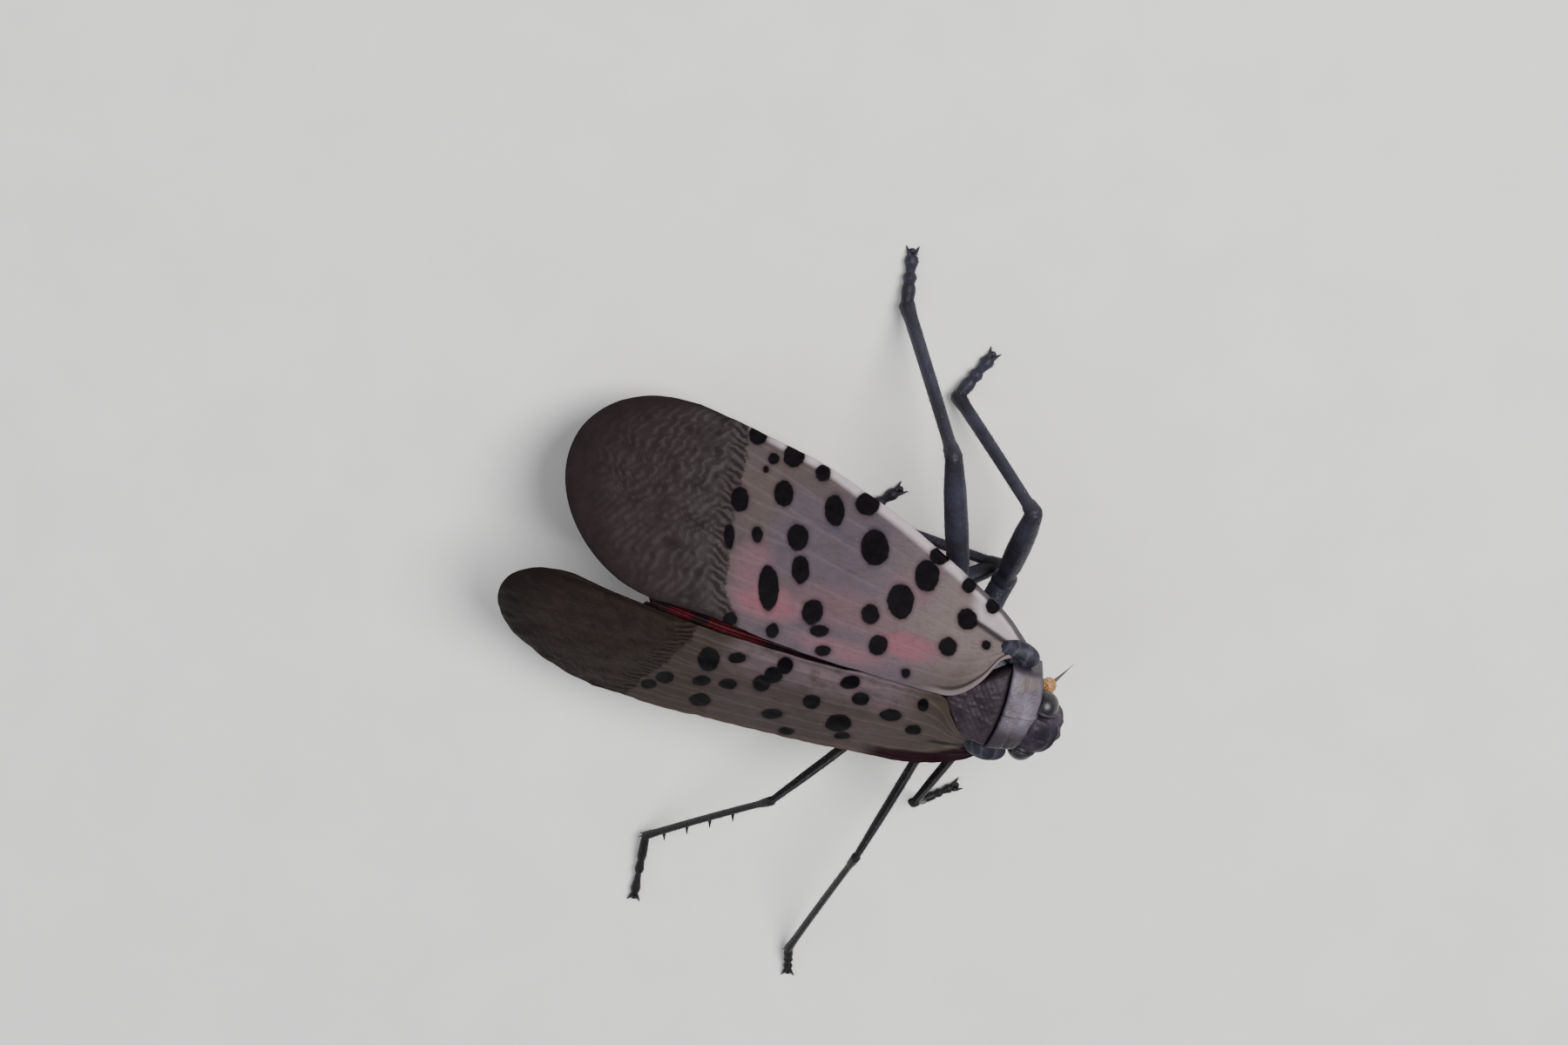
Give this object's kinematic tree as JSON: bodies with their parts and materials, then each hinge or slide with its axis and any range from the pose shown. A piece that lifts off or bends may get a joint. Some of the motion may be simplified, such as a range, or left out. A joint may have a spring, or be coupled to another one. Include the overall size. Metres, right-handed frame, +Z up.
{
  "type": "spotted lanternfly, still life-size model",
  "caption": "Adult spotted lanternfly at rest: spotted forewings held roof-wise over red hindwings and banded abdomen, standing on its legs.",
  "frame": {"origin": "under the middle of the model's box, on the plane that the feet stand on", "axes": "+X the animal's left, -Y towards the head, +Z up"},
  "size_m": [0.0352, 0.025, 0.0093],
  "materials": {
    "cuticle": "dark blue-grey insect cuticle, faint satin sheen",
    "pronotum": "pale mauve-grey cuticle with fine wrinkles",
    "shield": "dark mauve-brown cuticle with a fine grain",
    "eye": "glossy dark compound eye",
    "antenna": "orange, pimpled bulb with a dark bristle",
    "leg": "black cuticle with a bluish sheen and fine bristles",
    "forewing": "leathery tan to mauve membrane with black spots and a dark, net-veined tip",
    "hindwing": "red membrane with black spots, a pale band and a black tip",
    "abdomen": "yellow with broad black bands"
  },
  "bodies": {
    "root": {"thorax": "cuticle", "pronotum": "pronotum", "mesonotum": "shield", "head": "cuticle", "rostrum": "leg", "abdomen": "abdomen", "eye_left": "eye", "antenna_left": "antenna", "tegula_left": "shield", "forewing_left": "forewing", "hindwing_left": "hindwing", "leg_fore_left": "leg", "leg_mid_left": "leg", "leg_hind_left": "leg", "eye_right": "eye", "antenna_right": "antenna", "tegula_right": "shield", "forewing_right": "forewing", "hindwing_right": "hindwing", "leg_fore_right": "leg", "leg_mid_right": "leg", "leg_hind_right": "leg"}
  },
  "joints": []
}
